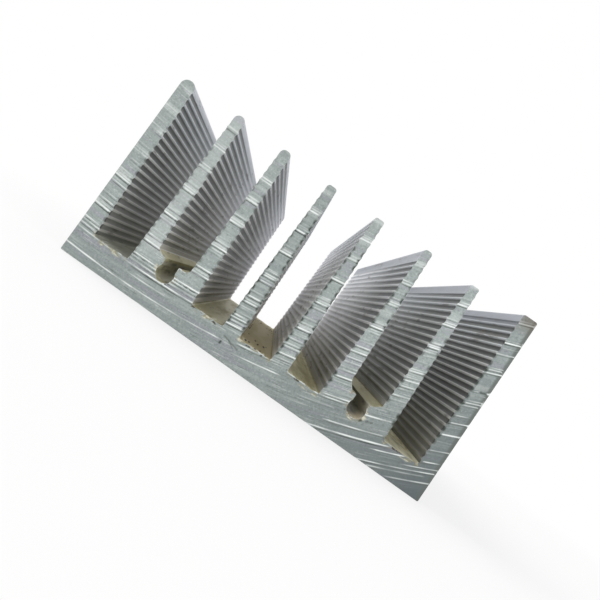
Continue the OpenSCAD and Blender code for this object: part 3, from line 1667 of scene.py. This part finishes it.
@dataclass(frozen=True)
class FlutedFinish:
    """Extruded aluminium as the die left it, brown toward the feet, with painted shade in the flutes.

    The zones are named for the stretch of the walls that each one covers; most of them place painted light or
    shade.
    """

    die_lines: Tree
    tarnish: Tree
    metal: Colour = (0.83, 0.84, 0.80)
    # Painted light: lighter metal on the walls left of x = 15.5, save the first.
    lit_metal: Colour = (1.0, 1.0, 0.98)
    # Painted reflection: a lavender tint toward the far end.
    far_reflection: Colour = (0.64, 0.64, 0.66)
    # Painted sky reflection on the upper walls.
    sky: Colour = (0.50, 0.535, 0.575)
    # Painted shade in the flutes; also the dark of the die lines.
    groove: Colour = (0.045, 0.052, 0.04)
    brown: Colour = (0.66, 0.62, 0.54)
    umber: Colour = (0.12, 0.10, 0.07)
    # Painted light in the flutes toward the far end.
    far_groove_light: Colour = (0.90, 0.90, 0.92)
    # Painted shade at the feet of the right-hand walls.
    shade: Colour = (0.20, 0.195, 0.16)
    # Painted shade, bluish, at the tops of the right-hand walls.
    dusk: Colour = (0.27, 0.29, 0.34)
    # Painted highlight on the burrs at the ends of the walls.
    crest: Colour = (0.8, 0.83, 0.76)
    edge_tint: Colour = (0.77, 0.78, 0.83)
    sheen_tint: Colour = (0.9, 0.91, 0.95)
    sheen: float = 0.2
    sheen_rough: float = 0.45
    # The far part: a painted reflection tint there, and a rougher surface.
    far: Zone = Zone(-30, 48, axis=Axis.Y)
    right: Zone = Zone(15.5, 17)
    last_wall: Zone = Zone(27, 30)
    # Walls painted lighter: less painted reflection tint, and the painted light in the flutes starts nearer
    # the front.
    lit_walls: Zone = Zone(7.5, 6.5, around=9)
    first_wall: Zone = Zone(-28, -30, 0.0, 0.7)
    # Painted sky reflection, stronger toward the top.
    upper: Zone = Zone(24, 38, 0.0, 0.85, Axis.Z)
    # Painted shade in the flutes: strongest at the front, fading toward the far end, the feet and the middle
    # walls.
    in_groove: Ramp = Ramp(0.28, 0.62)
    groove_fade: Ramp = Ramp(-52, 25, 0.95, 0.05)
    last_wall_fade: float = -35.0
    groove_foot: Zone = Zone(8, 24, 0.65, 1.0, Axis.Z)
    groove_front: Zone = Zone(-47.5, -49.5, 0.0, 0.95, Axis.Y)
    groove_end: Zone = Zone(-48.8, -49.7, 0.0, 0.9, Axis.Y)
    off_middle: Zone = Zone(4.9, 5.3, 0.45, 1.0, around=0)
    # Painted light in the flutes, rising toward the far end; it starts nearer the front on the walls painted
    # lighter.
    far_groove_light_reach: Ramp = Ramp(-15, 35, 0.0, 0.7)
    lit_wall_lead: float = 22.0
    # Painted shade on the right-hand walls, at their tops and feet.
    right_walls: Zone = Zone(12, 16)
    dusk_top: Zone = Zone(35.5, 37.5, 0.0, 0.5, Axis.Z)
    dark_foot: Zone = Zone(15, 7, 0.0, 0.65, Axis.Z)
    spot_draw: float = 0.1
    spots: Noise = Noise(1.1, 2.0, 0.6)
    spotted: Noise = Noise(0.07, 2.0, 0.5)

    def plain(self, finish: Finish, far: object, lit_wall_mask: object) -> Socket:
        """The colour of the bare metal, wall by wall, with walls painted lighter, a painted reflection tint
        and the brown film.

        Args:
            finish: The material in the making.
            far: The mask of the far part.
            lit_wall_mask: The mask of the walls that are painted lighter.

        Returns:
            The colour.
        """
        w = finish.w
        film = w.group(self.tarnish, place=finish.place)
        # The walls left of x = 15.5 are painted lighter, save the first.
        metal = w.mix(finish.zone(self.right), self.lit_metal, self.metal)
        metal = w.mix(finish.zone(self.first_wall), metal, self.metal)
        # A painted reflection toward the far end and on the upper walls, then the brown film.
        return finish.layers(
            metal,
            ((far, w.math("MULTIPLY_ADD", lit_wall_mask, -0.5, 1.0)), self.far_reflection),
            (self.upper, self.sky),
            ((film.outputs["Mask"], 0.6), self.brown),
        )

    def grooved(self, finish: Finish, colour: object, lit_wall_mask: object) -> Socket:
        """Lays the painted shade of the flutes over a colour: deep at the front, and painted light in them
        toward the far end.

        Args:
            finish: The material in the making.
            colour: The colour underneath.
            lit_wall_mask: The mask of the walls that are painted lighter.

        Returns:
            The colour.
        """
        w = finish.w
        groove = w.ramp(w.stored("groove"), self.in_groove)
        shifted = w.math("MULTIPLY_ADD", finish.zone(self.last_wall), self.last_wall_fade * MM, finish.y)
        fading = w.product(w.ramp(shifted, self.groove_fade, MM), finish.zone(self.groove_foot))
        fading = w.math("MAXIMUM", fading, finish.zone(self.groove_front))
        fading = w.product(fading, finish.zone(self.off_middle))
        reach = w.math("MULTIPLY_ADD", lit_wall_mask, self.lit_wall_lead * MM, finish.y)
        # Painted shade in the flutes, then painted light in them toward the far end.
        return finish.layers(
            colour,
            ((groove, fading), self.groove),
            ((self.groove_end, groove), self.groove),
            ((w.ramp(reach, self.far_groove_light_reach, MM), groove), self.far_groove_light),
        )

    def shade_spots_and_burr_light(self, finish: Finish, colour: object, lines: Socket) -> Socket:
        """Lays painted shade on the right-hand walls, the spots, the die lines and painted burr highlights
        over a colour.

        Args:
            finish: The material in the making.
            colour: The colour underneath.
            lines: The die lines.

        Returns:
            The colour.
        """
        w = finish.w
        right = finish.zone(self.right_walls)
        spots = w.product(
            w.ramp(w.noise(finish.drawn(self.spot_draw), self.spots), Ramp(0.55, 0.68)),
            w.ramp(w.noise(finish.place, self.spotted), Ramp(0.5, 0.6, 0.15, 0.6)),
        )
        # Painted shade on the right-hand walls, then the spots and die lines, then painted highlights on the
        # burrs.
        return finish.layers(
            colour,
            ((right, self.dusk_top), self.dusk),
            ((right, self.dark_foot), self.shade),
            (spots, self.umber),
            (w.ramp(lines, Ramp(0.42, 0.3, 0.0, 0.3)), self.groove),
            (w.ramp(w.stored("score"), Ramp(0.1, 0.6)), self.crest),
        )

    def material(self) -> Material:
        """Builds the material.

        Returns:
            The material.
        """
        finish = Finish("extruded_aluminium", 0.45, self.edge_tint)
        w = finish.w
        finish.shader.inputs["Sheen Weight"].default_value = self.sheen
        finish.shader.inputs["Sheen Roughness"].default_value = self.sheen_rough
        finish.shader.inputs["Sheen Tint"].default_value = (*self.sheen_tint, 1.0)
        lines = w.group(self.die_lines, place=finish.place, fineness=1.0)
        far, lit_wall_mask = finish.zone(self.far), finish.zone(self.lit_walls)
        colour = self.grooved(finish, self.plain(finish, far, lit_wall_mask), lit_wall_mask)
        colour = self.shade_spots_and_burr_light(finish, colour, lines.outputs["Lines"])
        rough = w.math("MULTIPLY_ADD", lines.outputs["Mottle"], 0.2, w.math("MULTIPLY_ADD", far, 0.4, 0.34))
        return finish.finish(colour, rough, lines.outputs["Lines"], bump=0.25, depth=0.04)


@dataclass(frozen=True)
class StainedFinish:
    """The floors and screw channels, under a brown film with pits.

    Attributes:
        channel_x: Distance of the screw channels from the middle, in millimetres.
        draw: How far the film's patterns are drawn out along the bar.
    """

    channel_x: float
    draw: float = 0.14
    brown: Colour = (0.60, 0.56, 0.31)
    deep: Colour = (0.43, 0.39, 0.20)
    grey: Colour = (0.50, 0.50, 0.44)
    # Pale patches near the mouths; also the painted highlight on the burrs.
    pale: Colour = (0.85, 0.85, 0.76)
    rust: Colour = (0.46, 0.39, 0.23)
    straw: Colour = (1.0, 0.97, 0.72)
    lead: Colour = (0.40, 0.43, 0.39)
    umber: Colour = (0.50, 0.43, 0.24)
    soot: Colour = (0.43, 0.425, 0.38)
    ash: Colour = (0.60, 0.59, 0.49)
    tan: Colour = (0.88, 0.78, 0.60)
    olive: Colour = (0.56, 0.53, 0.33)
    pit: Colour = (0.03, 0.026, 0.02)
    edge_tint: Colour = (0.73, 0.69, 0.52)
    skin: Noise = Noise(0.9, 3.0, 0.55)
    patches: Noise = Noise(0.3, 3.0, 0.6)
    streaks: Noise = Noise(0.62, 2.0, 0.6)
    dullness: Noise = Noise(0.7, 3.0, 0.6)
    pitted: Noise = Noise(0.25, 1.0, 0.5)
    pit_scale: float = 1.1
    far: Zone = Zone(-10, 48, 0.0, 0.25, Axis.Y)
    middle_floor: Zone = Zone(5, 4, 0.0, 0.85, around=0)
    last_floor: Zone = Zone(27, 29, 0.0, 0.95)
    last_streaks: Zone = Zone(27, 29)
    first_floor: Zone = Zone(-27, -29, 0.0, 0.85)
    third_floor: Zone = Zone(5.5, 4.5, 0.0, 0.26, around=-10.7)
    left_half: Zone = Zone(1, -1)
    flank: Ramp = Ramp(5, 4)
    bore: Ramp = Ramp(2.1, 1.9)
    bore_top: Zone = Zone(9.4, 8.9, 0.0, 0.85, Axis.Z)
    bore_foot: Zone = Zone(7.4, 6.2, axis=Axis.Z)
    mouth: Zone = Zone(-41.0, -47.5, axis=Axis.Y)

    def floors(
        self, finish: Finish, patch: object, streaks: object, middle: object
    ) -> Socket:
        """The colour of the film, floor by floor.

        Args:
            finish: The material in the making.
            patch: The mask of the deeper patches.
            streaks: The noise of the streaks.
            middle: The mask of the middle floor.

        Returns:
            The colour.
        """
        w = finish.w
        return finish.layers(
            w.mix(patch, self.brown, self.deep),
            (self.far, self.grey),
            (middle, self.rust),
            (self.last_floor, self.straw),
            (self.first_floor, self.lead),
            ((self.last_streaks, w.ramp(streaks, Ramp(0.48, 0.6, 0.0, 0.6))), self.umber),
            (self.third_floor, self.pit),
        )

    def channels(self, finish: Finish, colour: object, drawn: object, skin: object) -> Socket:
        """Lays the looks of the screw channels and the slopes beside them over a colour.

        Args:
            finish: The material in the making.
            colour: The colour underneath.
            drawn: The place, drawn out along the bar.
            skin: The fine noise of the film.

        Returns:
            The colour.
        """
        w = finish.w
        side = w.math("ABSOLUTE", finish.x)
        away = w.math("ABSOLUTE", w.math("SUBTRACT", side, self.channel_x * MM))
        flanks = w.ramp(away, self.flank, MM)
        right, left = (
            finish.zone(Zone(self.flank.low, self.flank.high, around=sign * self.channel_x))
            for sign in (1, -1)
        )
        dull = w.ramp(w.noise(drawn, self.dullness), Ramp(0.5, 0.64, 0.0, 0.45))
        bore = w.product(w.ramp(away, self.bore, MM), finish.zone(self.bore_top))
        mouth, on_left = finish.zone(self.mouth), finish.zone(self.left_half)
        return finish.layers(
            colour,
            ((dull, flanks), self.deep),
            ((right, 0.2), self.pit),
            ((left, 0.4), self.straw),
            (bore, w.mix(on_left, self.soot, self.ash)),
            ((bore, w.ramp(skin, Ramp(0.5, 0.36, 0.0, 0.5))), self.pit),
            ((mouth, bore, self.bore_foot), w.mix(on_left, self.tan, self.olive)),
            ((mouth, w.ramp(skin, Ramp(0.5, 0.62, 0.0, 0.5))), self.pale),
        )

    def pits(self, finish: Finish, drawn: object, middle: object) -> Socket:
        """The mask of the pits, which are densest in the middle floor.

        Args:
            finish: The material in the making.
            drawn: The place, drawn out along the bar.
            middle: The mask of the middle floor.

        Returns:
            Their mask.
        """
        w = finish.w
        cells = w.node("ShaderNodeTexVoronoi")
        w.plug(cells.inputs["Vector"], drawn)
        cells.inputs["Scale"].default_value = self.pit_scale / MM
        return w.product(
            w.ramp(cells.outputs["Distance"], Ramp(0.36, 0.2)),
            w.ramp(w.noise(drawn, self.pitted), Ramp(0.45, 0.53)),
            w.math("MULTIPLY_ADD", middle, 1.0, 0.3),
        )

    def material(self) -> Material:
        """Builds the material.

        Returns:
            The material.
        """
        finish = Finish("stained_aluminium", 0.25, self.edge_tint)
        w = finish.w
        drawn = finish.drawn(self.draw)
        skin = w.noise(drawn, self.skin)
        patch = w.ramp(w.noise(drawn, self.patches), Ramp(0.4, 0.62))
        middle = finish.zone(self.middle_floor)
        pits = self.pits(finish, drawn, middle)
        colour = self.floors(finish, patch, w.noise(drawn, self.streaks), middle)
        colour = finish.layers(
            self.channels(finish, colour, drawn, skin),
            (pits, self.pit),
            # Painted highlight on the burrs at the edges of the floors.
            (w.ramp(w.stored("score"), Ramp(0.05, 0.5)), self.pale),
        )
        rough = w.math("MULTIPLY_ADD", middle, 0.16, w.math("MULTIPLY_ADD", patch, 0.15, 0.42))
        height = w.math("SUBTRACT", w.math("MULTIPLY", skin, 0.5), pits)
        return finish.finish(colour, rough, height, bump=0.4, depth=0.06)


@dataclass(frozen=True)
class OutsideFinish:
    """The plain outer faces: sides and underside, with die lines and light scuffs."""

    die_lines: Tree
    metal: Colour = (0.50, 0.515, 0.505)
    scuff: Colour = (0.32, 0.33, 0.32)
    fineness: float = 0.45

    def material(self) -> Material:
        """Builds the material.

        Returns:
            The material.
        """
        finish = Finish("outer_aluminium", 0.9)
        w = finish.w
        lines = w.group(self.die_lines, place=finish.place, fineness=self.fineness)
        colour = finish.layers(
            self.metal,
            (w.ramp(lines.outputs["Lines"], Ramp(0.52, 0.36)), self.scuff),
            (w.ramp(lines.outputs["Mottle"], Ramp(0.55, 0.7, 0.0, 0.4)), self.scuff),
        )
        rough = w.math("MULTIPLY_ADD", lines.outputs["Mottle"], 0.25, 0.3)
        return finish.finish(colour, rough, lines.outputs["Lines"], bump=0.25, depth=0.04)


# ---------------------------------------------------------------- studio


@dataclass
class Studio:
    """The floor, the light and the camera.

    Attributes:
        floor_size: Length of the floor's side, in metres.
        eye: The camera's place in front of the bar's front end, in millimetres.
        pan: How far the camera looks to the left, in degrees.
        tilt: How far it looks up, in degrees.
        roll: How far it is turned over, in degrees.
        lens: Its focal length, in millimetres.
        shift: Its shift, across and up.
        whitening: How the floor turns white with the distance from the bar, in metres.
        lamp_size: Length of a lamp's side, in metres.
        aim: The place that the lamps shine at, in metres.
    """

    floor_size: float = 3.0
    eye: tuple[float, float, float] = (-2.695, -119.86, 16.367)
    pan: float = 1.511
    tilt: float = 2.933
    roll: float = 35.156
    lens: float = 39.0
    shift: Point = (0.0301, -0.0750)
    whitening: Ramp = Ramp(0.08, 0.3, 0.7, 1.0)
    lamp_size: float = 0.4
    aim: tuple[float, float, float] = (0, 0, 0.02)

    def camera(self, front: float) -> None:
        """Places the camera in front of the front end, which lies at Y = front in metres.

        Args:
            front: Y of the front end, in metres.
        """
        data = bpy.data.cameras.new("camera")
        data.lens, data.sensor_width = self.lens, 36.0
        data.shift_x, data.shift_y = self.shift
        data.clip_start = 0.005
        camera = bpy.data.objects.new("camera", data)
        turn = Matrix.Rotation(math.radians(self.pan), 4, "Z")
        turn @= Matrix.Rotation(math.radians(90 + self.tilt), 4, "X")
        turn @= Matrix.Rotation(math.radians(self.roll), 4, "Z")
        eye = Vector(self.eye) * MM + Vector((0, front, 0))
        camera.matrix_world = Matrix.Translation(eye) @ turn
        bpy.context.scene.collection.objects.link(camera)
        bpy.context.scene.camera = camera

    def floor(self) -> None:
        """Lays the pale floor, which is white far from the bar and keeps its shadow near it."""
        mesh = bpy.data.meshes.new("floor")
        half = self.floor_size / 2
        corners = [(x * half, y * half, 0) for x, y in ((-1, -1), (1, -1), (1, 1), (-1, 1))]
        mesh.from_pydata(corners, [], [(0, 1, 2, 3)])
        floor = bpy.data.objects.new("floor", mesh)
        bpy.context.scene.collection.objects.link(floor)
        material = bpy.data.materials.new("floor")
        material.use_nodes = True
        tree = material.node_tree
        tree.nodes.clear()
        w = Wiring(tree)
        paint = w.node("ShaderNodeBsdfDiffuse")
        paint.inputs["Color"].default_value = (0.9, 0.9, 0.9, 1)
        glow = w.node("ShaderNodeEmission")
        glow.inputs["Strength"].default_value = 1.0
        place = w.node("ShaderNodeTexCoord").outputs["Object"]
        length = w.node("ShaderNodeVectorMath", operation="LENGTH")
        w.plug(length.inputs[0], place)
        path = w.node("ShaderNodeLightPath")
        seen = w.math("MAXIMUM", path.outputs["Is Camera Ray"], path.outputs["Is Glossy Ray"])
        white = w.math("MULTIPLY", w.ramp(length.outputs["Value"], self.whitening), seen)
        blend = w.node("ShaderNodeMixShader")
        w.plug(blend.inputs[0], white)
        w.plug(blend.inputs[1], paint.outputs[0])
        w.plug(blend.inputs[2], glow.outputs[0])
        result = w.node("ShaderNodeOutputMaterial")
        w.plug(result.inputs[0], blend.outputs[0])
        mesh.materials.append(material)

    def sky(self) -> None:
        """Makes the world white where it is seen, and a little softer as light."""
        world = bpy.data.worlds.new("studio")
        world.use_nodes = True
        bpy.context.scene.world = world
        w = Wiring(world.node_tree)
        background = world.node_tree.nodes["Background"]
        background.inputs["Color"].default_value = (1, 1, 1, 1)
        path = w.node("ShaderNodeLightPath")
        seen = w.math("MAXIMUM", path.outputs["Is Camera Ray"], path.outputs["Is Glossy Ray"])
        seen = w.math("MAXIMUM", seen, path.outputs["Is Transmission Ray"])
        w.plug(background.inputs["Strength"], w.math("MULTIPLY_ADD", seen, 0.22, 0.78))

    def lamp(self, name: str, place: tuple[float, ...], power: float, colour: Colour) -> None:
        """Hangs one soft square lamp at a place in metres, with its power in watts, over the bar.

        Args:
            name: Its name.
            place: Where it hangs.
            power: Its power.
            colour: Its colour.
        """
        data = bpy.data.lights.new(name, "AREA")
        data.size, data.energy, data.color = self.lamp_size, power, colour
        lamp = bpy.data.objects.new(name, data)
        aim = (Vector(self.aim) - Vector(place)).to_track_quat("-Z", "Y")
        lamp.matrix_world = Matrix.Translation(place) @ aim.to_matrix().to_4x4()
        bpy.context.scene.collection.objects.link(lamp)

    def build(self, front: float) -> None:
        """Sets up the camera, the floor and the light.

        Args:
            front: Y of the front end, in metres.
        """
        self.camera(front)
        self.floor()
        self.sky()
        self.lamp("key", (-0.35, 0.05, 0.5), 1.4, (1.0, 0.99, 0.97))
        self.lamp("fill", (0.3, -0.4, 0.25), 0.25, (0.97, 0.98, 1.0))
        bpy.context.scene.view_settings.view_transform = "Standard"


# ---------------------------------------------------------------- making

FRONT_SCORES = tuple(
    Score(*row)
    for row in (
        (36.4, 0.35), (36.3, 0.5, 8, 17, 0.5), (32.1, 0.4, -5, 7), (31.4, 0.45, -5, 7),
        (32.8, 0.35, 8, 60), (32.4, 0.6, 8, 50, 0.34), (31.9, 0.95, 8, 51), (31.9, 0.35, 51, 60),
        (29.0, 0.2), (28.0, 0.5), (27.3, 0.5, -5, 7, 0.45), (27.4, 0.9, 7, 90), (23.8, 0.4, -5, 70),
        (22.8, 0.55), (22.3, 0.5, -5, 7, 0.4), (22.3, 1.0, 7, 90), (21.0, 0.4, 74, 90),
        (20.5, 0.5, 0, 12), (19.5, 0.6, 74, 90), (18.1, 0.45, -5, 70), (17.8, 0.5, -5, 70),
        (17.1, 0.55, -5, 70), (16.7, 1.0, -5, 70), (16.0, 0.45, -5, 90), (15.5, 0.5),
        (14.7, 0.85, 66, 90), (13.0, 0.35, -5, 70), (11.8, 0.85, -5, 60), (11.0, 0.45, -5, 70),
        (10.5, 0.95, -5, 70), (9.8, 0.9, 72, 90), (8.9, 0.5, 72, 90), (8.2, 0.8, 64, 70),
        (7.4, 0.45, 72, 90), (9.4, 0.35, 30, 70), (9.0, 0.45, 30, 70), (8.0, 0.45, 30, 60),
        (7.4, 1.0, -5, 36), (6.8, 0.6), (6.1, 0.5), (5.2, 0.5, -5, 14), (5.2, 0.95, 12, 42),
        (4.5, 0.9, 38, 74), (3.6, 0.5, 12, 22), (3.4, 0.4, 40, 80), (2.4, 0.7, 36, 47),
        (1.7, 0.9, -1, 16), (1.7, 0.6, 14, 34), (1.5, 0.7, 73, 90), (0.2, 0.7, 36, 47),
        (0.1, 0.75, 54, 61), (-0.5, 0.6, 54, 61), (-1.6, 1.0, 62, 90, 0.38), (-2.15, 0.3, 50, 59),
        (-5.1, 0.65, 57, 70), (-5.8, 0.7, 73, 90), (-7.1, 1.0, 54, 71, 0.36), (-8.5, 1.0, 67, 74),
        (-8.8, 0.8, 76, 80), (-10.4, 0.5, 73, 90), (-11.4, 0.7, 65, 90), (-12.3, 0.5, 67, 79, 0.4),
        (-13.9, 0.58, 71, 90, 0.36),
    )
)


def back_scores(seed: int = 5, groups: int = 9) -> tuple[Score, ...]:
    """Plain groups of scores for the hidden end.

    Args:
        seed: Seed of the draw.
        groups: Number of groups.

    Returns:
        The scores, from the top down.
    """
    draw = random.Random(seed)
    found = []
    level = 36.0
    for _ in range(groups):
        for k in range(draw.randint(2, 3)):
            found.append(Score(level - 0.6 * k, draw.uniform(0.4, 0.95)))
        level -= draw.uniform(4.2, 6.0)
    return tuple(found)


def main() -> None:
    """Builds the heat sink and its studio."""
    logging.basicConfig(level=logging.INFO, format="%(name)s: %(message)s")
    low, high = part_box("heat_sink")
    width, length, height = ((high - low) / MM)[:]
    channels = [m for m in frame["record"]["mounts"] if m["name"].startswith("screw_channel")]
    section = Section(
        width=width,
        height=height,
        channel_x=max(m["pos_m"][0] for m in channels) / MM,
        channel_z=channels[0]["pos_m"][2] / MM,
        channel_r=channels[0]["dims"]["r_mm"],
    )
    front = SawCut(edge=-width / 2, scores=FRONT_SCORES)
    back = SawCut(edge=-width / 2, scores=back_scores())
    marks = (
        Mark((-6.0, 2.75), (-5.95, 3.05), 0.34, 0.12),
        Mark((-6.0, 4.3), (-2.6, 3.5), 0.3, 0.045),
        Mark((-4.8, 4.0), (-3.4, 3.2), 0.2, 0.04),
        Mark((23.05, 5.85), (23.3, 6.1), 0.36, 0.12),
        Mark((24.2, 6.35), (24.45, 6.6), 0.26, 0.055),
        Mark((25.0, 6.65), (25.3, 6.85), 0.22, 0.06),
        Mark((38.4, 22.75), (39.3, 23.1), 0.26, 0.13),
    )
    arcs = SawArcs(front).group()
    die_lines = DieLines().group()
    tarnish = Tarnish().group()
    finishes = {
        Surface.SAWN: SawnFinish(arcs).material(),
        Surface.FLUTED: FlutedFinish(die_lines, tarnish).material(),
        Surface.STAINED: StainedFinish(channel_x=section.channel_x).material(),
        Surface.OUTSIDE: OutsideFinish(die_lines).material(),
    }
    bar = ExtrudedBar(section, length, {End.FRONT: front, End.BACK: back}, marks).build(finishes)
    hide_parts("heat_sink")
    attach(bar, "root")
    Studio().build(low[1])


if __name__ == "__main__":
    main()
